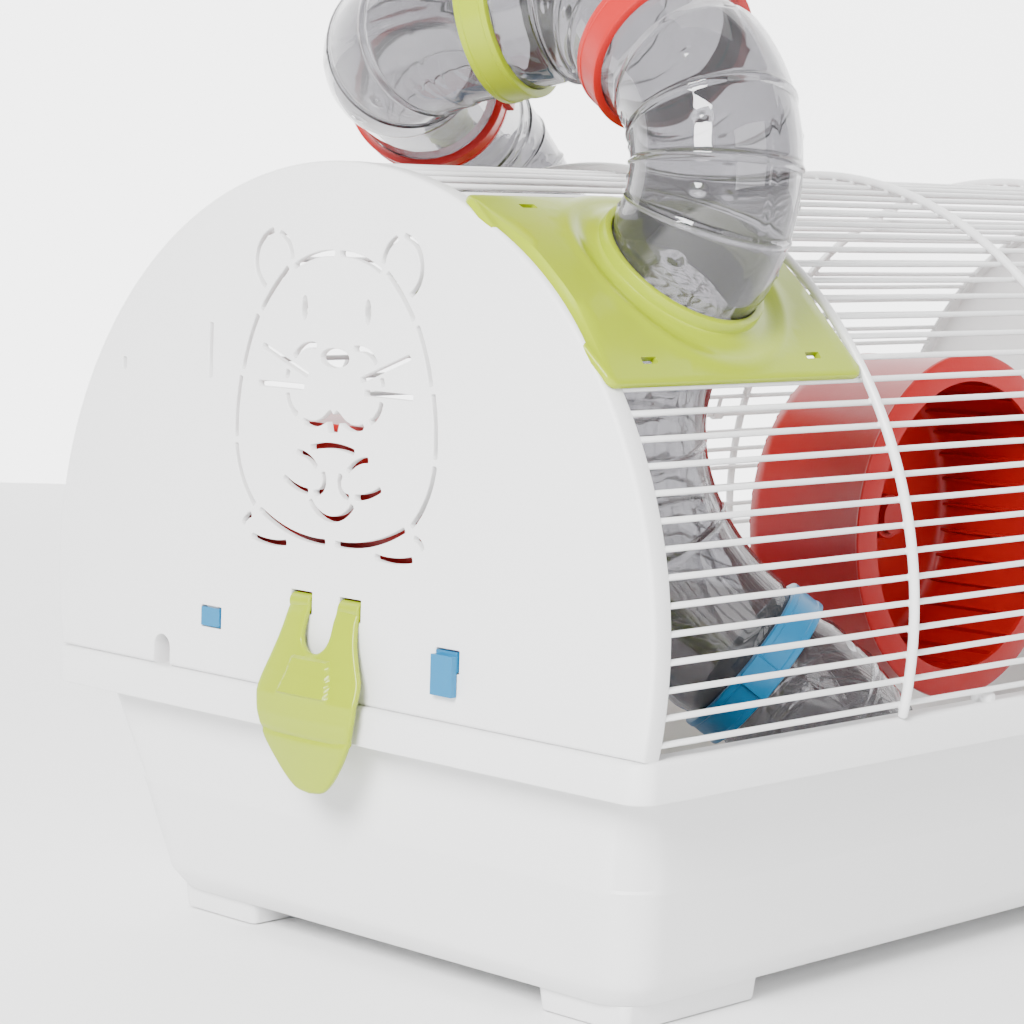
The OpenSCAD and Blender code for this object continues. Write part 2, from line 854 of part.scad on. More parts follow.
module house_roof() {
    color(red)
    translate([0, 0, shelf_z + house_h])
        union() {
            linear_extrude(2.4) house_plan(-1.5);
            translate([0, 0, -4])
                linear_extrude(4 + eps)
                    difference() {
                        house_plan(2.2);
                        house_plan(4.2);
                    }
        }
}

// Exercise wheel: open towards the near side, turning on a fixed axle
hub_r = 9;
hub_l = 22;
wheel_lip = 3;
module wheel_drum() {
    slat_n = 36;
    drum_r = wheel_r - wheel_lip;
    color(red)
    translate([wheel_x, wheel_y, wheel_z])
        rotate([-90, 0, 0])
            difference() {
                union() {
                    difference() {
                        cylinder(h = wheel_w, r = drum_r, $fn = 96);
                        translate([0, 0, -1])
                            cylinder(h = wheel_w - wheel_t + 1, r = drum_r - wheel_t, $fn = 96);
                    }
                    difference() {
                        cylinder(h = wheel_t, r = wheel_r, $fn = 96);
                        translate([0, 0, -1])
                            cylinder(h = wheel_t + 2, r = wheel_r - 12, $fn = 96);
                    }
                    for (k = [0 : slat_n - 1])
                        rotate([0, 0, k * 360 / slat_n])
                            translate([drum_r - wheel_t - 2, -0.8, wheel_t - eps])
                                cube([2.4, 1.6, wheel_w - 2 * wheel_t + 2 * eps]);
                    translate([0, 0, wheel_w - hub_l])
                        cylinder(h = hub_l, r = hub_r);
                }
                cylinder(h = 3 * wheel_w, r = axle_r + run, center = true);
            }
}

module wheel_axle() {
    color(red)
    translate([wheel_x, wheel_y + wheel_w, wheel_z])
        rotate([90, 0, 0]) {
            translate([0, 0, -7])
                cylinder(h = 7 + hub_l + 0.4, r = axle_r);
            translate([0, 0, hub_l + 0.4])
                cylinder(h = 2.6, r = axle_r + 4);
        }
}

module wheel_stand() {
    stand_y = wheel_y + wheel_w + 2;
    color(white)
    difference() {
        union() {
            translate([wheel_x, stand_y + 5, floor_z])
                rotate([90, 0, 0])
                    linear_extrude(5)
                        polygon([[-34, 0], [34, 0], [9, wheel_z - floor_z], [-9, wheel_z - floor_z]]);
            translate([wheel_x, stand_y + 5, wheel_z])
                rotate([90, 0, 0])
                    cylinder(h = 5, r = 9);
            translate([wheel_x - 40, stand_y - 50, floor_z])
                cube([80, 62, 2.6]);
        }
        translate([wheel_x, stand_y + 6, wheel_z])
            rotate([90, 0, 0])
                cylinder(h = 7, r = axle_r);
    }
}

tray();
end_panel_front();
end_panel_rear();
canopy_bars();
canopy_hoops();
side_door();
clip_front();
clip_rear();
port_plate_near();
port_plate_far();
tunnel_near_elbow();
tunnel_top_elbow();
tunnel_far_elbow();
tunnel_port_elbow();
ring_near();
ring_top();
ring_far();
tunnel_inner_bend();
ring_inner();
tunnel_floor_end();
shelf();
nest_house();
house_roof();
ladder();
wheel_drum();
wheel_axle();
wheel_stand();
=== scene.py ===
import math

import bmesh
import bpy
import numpy as np
from mathutils import Matrix
from mathutils.geometry import delaunay_2d_cdt


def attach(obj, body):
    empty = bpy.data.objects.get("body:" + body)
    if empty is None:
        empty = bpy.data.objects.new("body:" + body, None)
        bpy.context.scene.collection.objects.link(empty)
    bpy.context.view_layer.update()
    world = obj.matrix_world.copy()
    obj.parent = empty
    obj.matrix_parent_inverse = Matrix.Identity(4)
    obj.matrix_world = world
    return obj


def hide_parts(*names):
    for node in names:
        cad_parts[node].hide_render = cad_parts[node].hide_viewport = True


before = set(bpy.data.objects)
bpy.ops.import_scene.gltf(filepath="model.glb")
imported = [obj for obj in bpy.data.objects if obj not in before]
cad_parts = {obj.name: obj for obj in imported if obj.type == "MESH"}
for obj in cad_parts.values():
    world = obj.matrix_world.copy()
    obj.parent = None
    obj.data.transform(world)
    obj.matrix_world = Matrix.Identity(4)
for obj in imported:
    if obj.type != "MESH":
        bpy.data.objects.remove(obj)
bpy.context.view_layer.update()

# ---------------------------------------------------------------- Tray
# The deep tray: one injection-moulded shell of white plastic, with a rolled lip,
# walls that lean in to the floor, a foot under each corner and pegs on its ledge.
TRAY_L, TRAY_W, TRAY_H = 510, 290, 95
FOOT_AT = (187, 90)
PEG_AT = (73.2, 138.1)


class Shell:
    """Patches of points in millimetres, joined into one closed mesh."""

    def __init__(self):
        self.points = []
        self.faces = []
        self.count = 0

    def add(self, points, faces):
        points = np.asarray(points, float).reshape(-1, 3)
        self.points.append(points)
        self.faces += [tuple(int(i) + self.count for i in face) for face in faces]
        self.count += len(points)

    def grid(self, p, wrap=False, ends=False):
        """Quads over p[i, j]; wrap closes every row j, ends caps the first and last row."""
        nu, nv = p.shape[:2]
        i, j = np.meshgrid(np.arange(nu - 1), np.arange(nv if wrap else nv - 1), indexing="ij")
        k = (j + 1) % nv
        faces = np.stack([i * nv + j, (i + 1) * nv + j, (i + 1) * nv + k, i * nv + k], -1)
        faces = faces.reshape(-1, 4).tolist()
        if ends:
            faces += [list(range(nv)), list(range((nu - 1) * nv, nu * nv))]
        self.add(p, faces)

    def build(self, name, look, body, stands_for=(), sharp=35):
        """Welds the patches, turns the normals outwards and hands the piece to its body."""
        mesh = bpy.data.meshes.new(name)
        mesh.from_pydata((np.concatenate(self.points) * 0.001).tolist(), [], self.faces)
        bm = bmesh.new()
        bm.from_mesh(mesh)
        bmesh.ops.remove_doubles(bm, verts=bm.verts, dist=3e-6)
        bmesh.ops.recalc_face_normals(bm, faces=bm.faces)
        bm.to_mesh(mesh)
        bm.free()
        mesh.polygons.foreach_set("use_smooth", np.ones(len(mesh.polygons), bool))
        mesh.set_sharp_from_angle(angle=math.radians(sharp))
        mesh.materials.append(look.material)
        obj = bpy.data.objects.new(name, mesh)
        bpy.context.scene.collection.objects.link(obj)
        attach(obj, body)
        if stands_for:
            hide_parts(*stands_for)
        return obj


class Wire:
    """A shader socket; arithmetic on it adds Math nodes."""

    def __init__(self, look, socket):
        self.look = look
        self.socket = socket

    def math(self, operation, a, b=0.0):
        return self.look.node("ShaderNodeMath", {"operation": operation}, {0: a, 1: b})

    def __add__(self, other):
        return self.math("ADD", self, other)

    def __sub__(self, other):
        return self.math("SUBTRACT", self, other)

    def __mul__(self, other):
        return self.math("MULTIPLY", self, other)

    def __rsub__(self, other):
        return self.math("SUBTRACT", other, self)

    __radd__ = __add__
    __rmul__ = __mul__


class Look:
    """A material round one Principled shader, whose constant settings are set on its sockets."""

    def __init__(self, name, **constants):
        self.material = bpy.data.materials.new(name)
        self.material.use_nodes = True
        self.tree = self.material.node_tree
        self.shader = self.tree.nodes["Principled BSDF"]
        for key, value in constants.items():
            self.shader.inputs[key.replace("_", " ")].default_value = value
        self.at = self.node("ShaderNodeTexCoord", out="Object")

    def node(self, kind, settings=None, inputs=None, out=0):
        made = self.tree.nodes.new(kind)
        for key, value in (settings or {}).items():
            setattr(made, key, value)
        for key, value in (inputs or {}).items():
            if isinstance(value, Wire):
                self.tree.links.new(value.socket, made.inputs[key])
            else:
                made.inputs[key].default_value = value
        return Wire(self, made.outputs[out])

    def noise(self, scale, detail=2.0, roughness=0.5):
        return self.node("ShaderNodeTexNoise", None,
                         {"Vector": self.at, "Scale": scale, "Detail": detail, "Roughness": roughness})

    def between(self, low, high, a, b):
        """0 below low and 1 above high of a, as a smooth step scaled by b."""
        step = self.node("ShaderNodeMapRange", {"interpolation_type": "SMOOTHSTEP"},
                         {"Value": a, "From Min": low, "From Max": high})
        return step * b

    def blend(self, factor, a, b):
        return self.node("ShaderNodeMix", {"data_type": "RGBA"},
                         {0: factor, 6: (*a, 1) if not isinstance(a, Wire) else a,
                          7: (*b, 1) if not isinstance(b, Wire) else b}, out=2)

    def drive(self, name, value):
        self.tree.links.new(value.socket, self.shader.inputs[name])
        return self

    def bump(self, height, distance, strength=1.0):
        self.drive("Normal", self.node("ShaderNodeBump", None,
                                       {"Height": height, "Distance": distance, "Strength": strength}))
        return self


def moulded(name, colour, other, rough=0.3, grain=1.0, **constants):
    """Moulded plastic: slow drifts of colour from colour to other, flow marks and a fine grain."""
    look = Look(name, Specular_IOR_Level=0.35, **constants)
    drift = look.noise(14, 3)
    fine = look.noise(900, 2)
    wave = look.noise(38, 2)
    dust = look.between(0.56, 0.75, look.noise(120, 6, 0.7), 0.6)
    look.drive("Base Color", look.blend(drift * 0.8 + dust * 0.25, colour, other))
    look.drive("Roughness", rough + drift * 0.08 + dust * 0.12)
    return look.bump(fine * (0.12 * grain) + wave, 0.00022)


def loop(l, w, r, z, centre=(0, 0), n=10):
    """Rounded rectangle, l by w, with corners of radius r about centre c:
    c + (±(l/2-r) + r cos t, ±(w/2-r) + r sin t, z)."""
    t = np.linspace(0, np.pi / 2, n + 1)
    points = []
    for k, (sx, sy) in enumerate([(1, 1), (-1, 1), (-1, -1), (1, -1)]):
        a = t + k * np.pi / 2
        x = centre[0] + sx * (l / 2 - r) + r * np.cos(a)
        y = centre[1] + sy * (w / 2 - r) + r * np.sin(a)
        points.append(np.stack([x, y, z + 0 * a], -1))
    return np.concatenate(points)


tray = Shell()
# Inset from the rim's edge, height and corner radius, from the underside round the lip to the floor
tray_wall = [
    (35, 8, 14), (33.4, 8.2, 14), (32, 9, 14), (28.4, 14.2, 15), (27.2, 16, 16), (26.9, 18, 16),
    (20, 47, 16), (19.7, 48.2, 16), (19.95, 49.2, 16), (9, 90.6, 16), (8.6, 92, 16),
    (7.8, 92.5, 15), (3.2, 92.5, 5),
    (2.6, 92.3, 5), (2.4, 91.8, 5.6), (2.4, 82.8, 5.6), (2.1, 82.2, 6), (0.6, 82.1, 7.6), (0.15, 82.4, 8),
    (0, 82.9, 8), (0, 92.6, 8), (0.25, 93.7, 8), (0.9, 94.6, 7.4), (2, 95, 7), (9.2, 95, 12),
    (10.1, 94.7, 14), (10.7, 93.8, 14), (11, 92, 15), (29.4, 18.2, 15), (29.9, 16.4, 15),
    (35, 10.9, 14), (36.4, 10.4, 14)]
tray.grid(np.stack([loop(TRAY_L - 2 * d, TRAY_W - 2 * d, r, z) for d, z, r in tray_wall]),
          wrap=True, ends=True)
# Length, width, corner radius and height of each, from the bottom up
foot = [(62.5, 36.5, 2.4, 0), (63.6, 37.6, 2.8, 0.25), (64.2, 38.2, 3, 0.9), (66, 40, 3.6, 8.6),
        (62, 36, 3, 9.4)]
peg = [(8.4, 8.4, 4.19, 94.5), (8.4, 8.4, 4.19, 96.4), (7.6, 7.6, 3.79, 97.4),
       (5.6, 5.6, 2.79, 98), (2, 2, 0.99, 98.3)]
for sx in (-1, 1):
    for sy in (-1, 1):
        for steps, (x, y) in ((foot, FOOT_AT), (peg, PEG_AT)):
            rows = [loop(l, w, r, z, (sx * x, sy * y)) for l, w, r, z in steps]
            tray.grid(np.stack(rows), wrap=True, ends=True)
white_tray = moulded("tray white", (0.80, 0.80, 0.80), (0.765, 0.765, 0.765), rough=0.36)
tray.build("tray_shell", white_tray, "cage", ["tray"])

# ---------------------------------------------------------------- End panels
# Two alike panels of white plastic, flanged all round, that close the canopy's ends.
# A sitting hamster is cut out of each in short strokes, with windows for clips and hooks.
ARCH_R, ARCH_UP, END_X, PANEL_T = 146.04, 31.96, 252.5, 2.6
STROKE_HALF, BEVEL = 0.95, 0.22
WINDOW, CLIP_WINDOW_AT, HOOK_WINDOW_AT = (10.6, 7.4), (12, 30.7), (58.5, 20)
KEYHOLE_Y, KEYHOLE_R, KEYHOLE_UP = 85, 4.3, 6.4


def stroke(path, half, blunt=0.55):
    """Outline at half either side of path, path ± half n, closed by flattened half circles."""
    d = np.gradient(path, axis=0)
    d /= np.linalg.norm(d, axis=1)[:, None]
    n = np.stack([-d[:, 1], d[:, 0]], -1)
    t = np.linspace(-np.pi / 2, np.pi / 2, 7)[1:-1, None]
    tip = path[-1] + half * (blunt * np.cos(t) * d[-1] + np.sin(t) * n[-1])
    tail = path[0] - half * (blunt * np.cos(t) * d[0] + np.sin(t) * n[0])
    return np.concatenate([path - half * n, tip, (path + half * n)[::-1], tail])


def bow(a, m, b):
    """Arc from a to b by way of m: c + r (cos t, sin t), c at one distance r from all three."""
    a, m, b = (np.array(p, float) for p in (a, m, b))
    c = np.linalg.solve(2 * np.array([m - a, b - a]), [m @ m - a @ a, b @ b - a @ a])
    r = np.linalg.norm(a - c)
    t = np.unwrap([math.atan2(*(p - c)[::-1]) for p in (a, m, b)])
    t = np.linspace(t[0], t[2], max(5, int(abs(t[2] - t[0]) * r / 1.6)))
    return np.stack([c[0] + r * np.cos(t), c[1] + r * np.sin(t)], -1)


def line(a, b):
    return np.linspace(a, b, 3)


def oval(y, z, a, b, n=24):
    """(y + a cos t, z + b sin t)."""
    t = np.linspace(0, 2 * np.pi, n, endpoint=False)
    return np.stack([y + a * np.cos(t), z + b * np.sin(t)], -1)


def window(y, z, w, h, r=0.5):
    return loop(w, h, r, 0, (y, z), 3)[:, :2]


MIDDLE = -1.5
OUTLINE = [
    bow((32.4, 154.1), (40.3, 146.1), (35.8, 135.4)), bow((28.5, 153.3), (24.1, 150), (22.3, 145.4)),
    bow((20.8, 142.5), (12.5, 146), (1.8, 147.4)), bow((24.6, 141.6), (31.5, 134.8), (37.1, 127.6)),
    bow((39.3, 125), (43, 117), (46, 107)), bow((47.2, 103.7), (48.7, 93.7), (48.8, 83.8)),
    bow((48.7, 80.6), (45.4, 70.2), (38.9, 61.2)), bow((35.3, 59.4), (20.7, 53.6), (2.8, 51.7)),
    bow((39.2, 50.2), (30.9, 49), (22.2, 49.5)), bow((44.1, 54.3), (42.7, 56.2), (40.5, 57.3))]
FACE_AND_PAWS = [
    bow((19.8, 112.5), (15.8, 115.8), (9.6, 116.5)), bow((23, 99.4), (21.7, 96.1), (18.3, 93.1)),
    bow((17.1, 80.5), (11.6, 79.1), (8, 76.4)), bow((4.3, 74.4), (3.9, 70.3), (8.2, 67.6)),
    bow((23.5, 71.4), (18, 68.9), (12, 67.8)), line((35.8, 115.1), (13.4, 106.5)),
    line((37.5, 102.3), (15.3, 102.4)), line((23, 107.2), (23.6, 105.4))]
FOOD = [bow((10.3, 82.6), (0, 83.9), (-10.3, 82.6)), bow((10.3, 64.7), (0, 59.6), (-10.3, 64.7))]
LIP = np.array([
    (0, 94.2), (0.7, 94.8), (1.5, 95.6), (2.5, 95.2), (3.8, 94.2), (6, 92.6), (8.9, 91.5),
    (12, 91.4), (14.6, 92.1), (15.1, 91.2), (14.4, 90.1), (12, 89.5), (8.9, 89.4), (6.2, 90.1),
    (3.2, 91.6), (2.6, 90), (2.2, 88.3), (0, 88.2)])


def cuts(grow):
    """Every hole through the panel, opened by grow."""
    strokes = OUTLINE + FACE_AND_PAWS
    strokes = strokes + [p * (-1, 1) for p in strokes] + FOOD
    half = STROKE_HALF + grow
    holes = [stroke(p, half) for p in strokes]
    holes += [oval(s * 15.5, 128.8, 1.5 + grow, 4.1 + grow) for s in (-1, 1)]
    holes += [oval(0, 112.9, 7.1 + grow, 3.2 + grow)]
    mouth = np.concatenate([LIP, LIP[-2:0:-1] * (-1, 1)])
    along = np.roll(mouth, -1, 0) - np.roll(mouth, 1, 0)
    out = np.stack([-along[:, 1], along[:, 0]], -1) / np.linalg.norm(along, axis=1)[:, None]
    holes += [mouth + grow * out]
    holes = [h + (MIDDLE, 0) for h in holes]
    holes += [stroke(line((62, 103), (62, 121)), half), stroke(line((109.5, 103), (109.5, 106.4)), half)]
    wide, tall = (size + 2 * grow for size in WINDOW)
    for y, z in (CLIP_WINDOW_AT, HOOK_WINDOW_AT):
        holes += [window(s * y, z, wide, tall) for s in (-1, 1)]
    return holes


def outline(inset):
    """The arch and its foot, moved in by inset, with the round-topped notch in the foot."""
    r = ARCH_R - inset
    end = math.acos((inset - ARCH_UP) / r)
    t = np.linspace(-end, end, 129)
    arch = np.stack([-r * np.sin(t), ARCH_UP + r * np.cos(t)], -1)
    half = KEYHOLE_R + 0.14 * inset
    left, right = KEYHOLE_Y - half, KEYHOLE_Y + half
    t = np.linspace(np.pi, 0, 11)
    notch = np.stack([KEYHOLE_Y + half * np.cos(t), KEYHOLE_UP + half * np.sin(t)], -1)
    notch = np.concatenate([[[left, inset]], notch, [[right, inset]]])
    foot = np.stack([np.linspace(-r * math.sin(end), left, 14)[1:-1], np.full(12, inset)], -1)
    rest = np.stack([np.linspace(right, r * math.sin(end), 6)[1:-1], np.full(4, inset)], -1)
    return np.concatenate([arch, foot, notch, rest])


def inside(points, loops):
    """True where a ray from the point crosses the loops an odd number of times."""
    odd = np.zeros(len(points), bool)
    for ring in loops:
        a, b = ring, np.roll(ring, -1, 0)
        for (ay, az), (by, bz) in zip(a, b):
            if az == bz:
                continue
            hit = (az > points[:, 1]) != (bz > points[:, 1])
            odd ^= hit & (points[:, 0] < (by - ay) * (points[:, 1] - az) / (bz - az) + ay)
    return odd


def skin(loops, extra=()):
    """Triangles over the area between loops of points, and the points they use."""
    points = [p for ring in loops for p in ring] + list(extra)
    edges, start = [], 0
    for ring in loops:
        n = len(ring)
        edges += [(start + i, start + (i + 1) % n) for i in range(n)]
        start += n
    made = delaunay_2d_cdt([tuple(map(float, p)) for p in points], edges, [], 0, 1e-5)
    at = np.array([tuple(p) for p in made[0]])
    faces = np.array([f for f in made[2] if len(f) == 3])
    keep = inside(at[faces].mean(1), loops)
    return at, faces[keep]


def end_panel(name, body, node, turn):
    panel = Shell()

    def place(yz, d):
        """Face point (y, z) at depth d behind the outer face; turn is -1 for the panel at +X."""
        d = np.broadcast_to(np.asarray(d, float), len(yz))
        return np.stack([turn * (-END_X + d), turn * yz[:, 0], TRAY_H + yz[:, 1]], -1)

    # Inset and depth round the flange, from the outer face to the inner one
    rims = [(1.6, 0), (0.8, 0.2), (0.24, 0.75), (0, 1.6), (0, 7.5),
            (0.3, 8), (2.3, 8), (2.6, 7.7), (2.6, 3.4), (3.3, 2.6)]
    panel.grid(np.stack([place(outline(e), d) for e, d in rims]), wrap=True)
    wide, true = cuts(BEVEL), cuts(0.0)
    for a, b in zip(wide, true):
        panel.grid(np.stack([place(a, 0), place(b, 0.3), place(b, PANEL_T)]), wrap=True)
    at, faces = skin([outline(1.6)] + wide)
    panel.add(place(at, 0), faces)
    at, faces = skin([outline(3.3)] + true)
    panel.add(place(at, PANEL_T), faces)
    return panel.build(name, white_panel, body, [node])


white_panel = moulded("panel white", (0.80, 0.80, 0.80), (0.775, 0.775, 0.775), rough=0.42, grain=1.6)
end_panel("front_panel", "cage", "end_panel_front", 1)
end_panel("rear_panel", "cage", "end_panel_rear", -1)

# ---------------------------------------------------------------- Canopy wires
# Sixty-one straight bars and three hoops of steel wire, spot-welded where they cross
# and dipped in white plastic, which gathers in a small bead at every weld.
BAR_N, BAR_R, BAR_LOW, HOOP_D, HOOPS = 61, 144.74, 100.942, 3.4, (-126.25, 0.0, 126.25)
PORT_TILT, DOOR_FIRST, DOOR_HINGE = 40, 41, 52
BAR_END, WELD_OVER, PLATE_HALF = 248.9, 1.4, 14


def tube(shell, path, r, n=14, dome=True):
    """A round rod along path: c(s) + r (cos t e1 + sin t e2), with frames carried along it."""
    path = np.asarray(path, float)
    d = np.gradient(path, axis=0)
    d /= np.linalg.norm(d, axis=1)[:, None]
    e = np.cross(d[0], (0, 0, 1) if abs(d[0][2]) < 0.9 else (1, 0, 0))
    rows = []
    t = np.linspace(0, 2 * np.pi, n, endpoint=False)[:, None]
    radii = np.full(len(path), r) if np.isscalar(r) else np.asarray(r, float)
    for p, along, rad in zip(path, d, radii):
        e = e - (e @ along) * along
        e /= np.linalg.norm(e)
        rows.append(p + rad * (np.cos(t) * e + np.sin(t) * np.cross(along, e)))
    if dome:
        first, last = rows[0], rows[-1]
        rows = [path[0] + (first - path[0]) * 0.55 - d[0] * radii[0] * 0.4] + rows
        rows += [path[-1] + (last - path[-1]) * 0.55 + d[-1] * radii[-1] * 0.4]
    shell.grid(np.stack(rows), wrap=True, ends=True)


def bar_angle(i):
    return -BAR_LOW + i * 2 * BAR_LOW / (BAR_N - 1)


def on_arch(a, r):
    """(y, z) at angle a from the crown and r from the arch's axis."""
    a = math.radians(a)
    return r * math.sin(a), TRAY_H + ARCH_UP + r * math.cos(a)


def bead(shell, at, size):
    """A small egg round a weld: at + size (sin u cos v, sin u sin v, cos u)."""
    u = np.linspace(0.35, np.pi - 0.35, 5)[:, None]
    v = np.linspace(0, 2 * np.pi, 10, endpoint=False)[None, :]
    egg = np.stack([np.sin(u) * np.cos(v), np.sin(u) * np.sin(v), np.cos(u) + 0 * v], -1)
    shell.grid(np.asarray(at) + egg * size, wrap=True, ends=True)


def coated(name, colour, other):
    """Dipped wire: thick white plastic with slight runs and a soft shine."""
    look = Look(name, Specular_IOR_Level=0.5, Coat_Roughness=0.2)
    run = look.noise(60, 4, 0.6)
    look.drive("Base Color", look.blend(run, colour, other))
    look.drive("Roughness", 0.24 + run * 0.2)
    look.drive("Coat Weight", 0.1 + run * 0.2)
    return look.bump(run, 0.0004)


bars = Shell()
for i in range(BAR_N):
    a = bar_angle(i)
    spans = [(-BAR_END, BAR_END)]
    if abs(a + PORT_TILT) < PLATE_HALF:
        spans = [(HOOPS[0] - WELD_OVER, BAR_END)]
    at_far_plate = abs(a - PORT_TILT) < PLATE_HALF
    left = HOOPS[0] + WELD_OVER if at_far_plate else HOOPS[1] + WELD_OVER
    if DOOR_FIRST <= i < DOOR_HINGE:
        spans = [(-BAR_END, left), (HOOPS[2] - WELD_OVER, BAR_END)]
    elif at_far_plate:
        spans = [(-BAR_END, left), (HOOPS[1] - WELD_OVER, BAR_END)]
    y, z = on_arch(a, BAR_R)
    for x0, x1 in spans:
        xs = np.linspace(x0, x1, 14)
        sag = 0.12 * np.sin(0.031 * xs + 1.7 * i)
        ease = np.sin(np.pi * (xs - x0) / (x1 - x0))
        tube(bars, np.stack([xs, y + 0 * xs, z + sag * ease], -1), 1.02, 12)
        for x in HOOPS:
            if x0 < x < x1:
                yy, zz = on_arch(a, BAR_R + 1.0)
                bead(bars, (x, yy, zz), (1.5, 1.35, 1.35))
wire_white = coated("wire coat", (0.82, 0.82, 0.82), (0.74, 0.74, 0.74))
bars.build("canopy_bars", wire_white, "cage", ["canopy_bars"], 60)

hoops = Shell()
for k, x in enumerate(HOOPS):
    hoop_r = BAR_R + 1 + HOOP_D / 2 - 0.15
    angles = np.linspace(-102.1, 102.1, 150)
    arch = [(x + 0.25 * math.sin(a * 0.07 + k), *on_arch(a, hoop_r)) for a in angles]
    tube(hoops, arch, HOOP_D / 2, 18)
hoops.build("canopy_hoops", wire_white, "cage", ["canopy_hoops"], 60)

# ---------------------------------------------------------------- Side door
# A wire door in the far slope between two hoops: its own bars on three bent rods,
# two eyes that turn on the canopy's bar below it, and a flat latch over the bar above.
DOOR_X = (4.4, 121.85)
door = Shell()
for i in range(DOOR_FIRST, DOOR_HINGE):
    y, z = on_arch(bar_angle(i), BAR_R)
    tube(door, [(x, y, z) for x in np.linspace(*DOOR_X, 8)], 1.0, 12)
rod = np.linspace(bar_angle(DOOR_FIRST), bar_angle(DOOR_HINGE - 1), 30)
for x in (DOOR_X[0], sum(DOOR_X) / 2, DOOR_X[1]):
    tube(door, [(x, *on_arch(a, BAR_R)) for a in rod], 1.2, 12)
hinge_y, hinge_z = on_arch(bar_angle(DOOR_HINGE), BAR_R)
low_y, low_z = on_arch(bar_angle(DOOR_HINGE - 1), BAR_R)
t = np.linspace(0, 2 * np.pi, 25)
for x in (DOOR_X[0] + 16, DOOR_X[1] - 16):
    ring = np.stack([np.cos(t), np.sin(t)], -1)
    rows = [np.stack([x + 0 * t + dx, hinge_y + r * ring[:, 0], hinge_z + r * ring[:, 1]], -1)
            for dx, r in ((-3, 1.1), (-3, 1.9), (-2.7, 2.2), (2.7, 2.2), (3, 1.9), (3, 1.1), (-3, 1.1))]
    door.grid(np.stack(rows))
    start = (x, hinge_y + (low_y - hinge_y) * 0.24, hinge_z + (low_z - hinge_z) * 0.24)
    tube(door, np.linspace(start, (x, low_y, low_z), 4), 0.95, 10)
top_y, top_z = on_arch(bar_angle(DOOR_FIRST), BAR_R)
up = math.radians(bar_angle(DOOR_FIRST))
out_way = np.array([0, math.sin(up), math.cos(up)])
crown_way = np.array([0, -math.cos(up), math.sin(up)])
latch_mid = np.array([sum(DOOR_X) / 2, top_y, top_z])
# Distance up the slope, height over it and half width, from the latch's foot to its tip
latch = [(-1.2, 0.6, 4.4), (-1, 2.2, 4.8), (0, 2.4, 5), (9, 2.35, 5), (12.4, 2.5, 4.4), (13.8, 3.0, 2.6)]
rows = []
for s, above, half in latch:
    mid = latch_mid + crown_way * s + out_way * above
    corners = ((-half, -0.8), (half, -0.8), (half, 0.8), (-half, 0.8))
    rows.append([mid + (sx, 0, 0) + out_way * so for sx, so in corners])
door.grid(np.array(rows), wrap=True, ends=True)
door.build("side_door_wires", wire_white, "door", ["side_door"], 60)

# ---------------------------------------------------------------- Clips
# One lime clip at each end, hinged in two windows of the panel: two legs join in a
# wide pull with a raised pad, whose back hooks under the tray's lip.
PIN_IN, CLIP_Z = 1.7, 30.7
CLIP_TOP, CLIP_LIP, CLIP_T = 31.4, 0.9, 2.2
GAP_HALF, GAP_UP = 6.9, 22
CLIP_EDGE = [(16.9, CLIP_TOP), (17, 27), (18.4, 20), (21, 13), (23.4, 7), (24, 1), (23.2, -6),
             (20.4, -14), (15.4, -21.5), (11, -26.6), (6.4, -30.2), (0, -31.3)]


def smooth_curve(points, n):
    """A curve through the points, each coordinate a monotone cubic of the distance along them."""
    points = np.asarray(points, float)
    s = np.concatenate([[0], np.cumsum(np.linalg.norm(np.diff(points, axis=0), axis=1))])
    m = np.gradient(points, s, axis=0)
    t = np.linspace(0, s[-1], n)
    k = np.clip(np.searchsorted(s, t, side="right") - 1, 0, len(s) - 2)
    h = (s[k + 1] - s[k])[:, None]
    u = ((t - s[k])[:, None]) / h
    return ((2 * u**3 - 3 * u**2 + 1) * points[k] + (u**3 - 2 * u**2 + u) * h * m[k]
            + (3 * u**2 - 2 * u**3) * points[k + 1] + (u**3 - u**2) * h * m[k + 1])


def clip_outline():
    """The clip's edge and its mirror image, with the round-bottomed gap between the legs."""
    side = smooth_curve(CLIP_EDGE, 48)
    t = np.linspace(0, np.pi, 13)
    gap = np.stack([GAP_HALF * np.cos(t), GAP_UP - GAP_HALF * np.sin(t)], -1)
    leg = np.array([(GAP_HALF, CLIP_TOP), (GAP_HALF, 29), (GAP_HALF, 26)])
    gap = np.concatenate([leg, gap, (leg * (-1, 1))[::-1]])
    return np.concatenate([side[:-1], (side * (-1, 1))[::-1], gap[::-1]])


def pull_in(ring, by):
    """The outline moved in by that distance along its own normals."""
    d = np.roll(ring, -1, 0) - np.roll(ring, 1, 0)
    d /= np.linalg.norm(d, axis=1)[:, None]
    return ring + by * np.stack([d[:, 1], -d[:, 0]], -1)


CLIP_SIDE_Z = (-31.3, -22, -15, -6, 1, 8, 20, 27.3, 30.1, 34)
CLIP_SIDE_D = (5.4, 7.4, 9, 10.2, 9.9, 7.2, 4.6, 2.6, 1.1, 0.6)


def clip_front(y, z):
    """How far the clip's outer face stands out: its side line, a shallow crown, the pad and the crease."""
    base = np.interp(z, CLIP_SIDE_Z, CLIP_SIDE_D)
    pad_half = 9 + (14 - z) * 0.28
    over = np.clip(np.minimum.reduce([(14 - z), (z - 1), (pad_half - abs(y))]) / 0.8, 0, 1)
    crease = np.exp(-((z + 12.5 - 0.002 * y * y) / 0.7) ** 2) * 0.6
    return base - 0.0022 * y * y + 1.2 * over * over * (3 - 2 * over) - crease


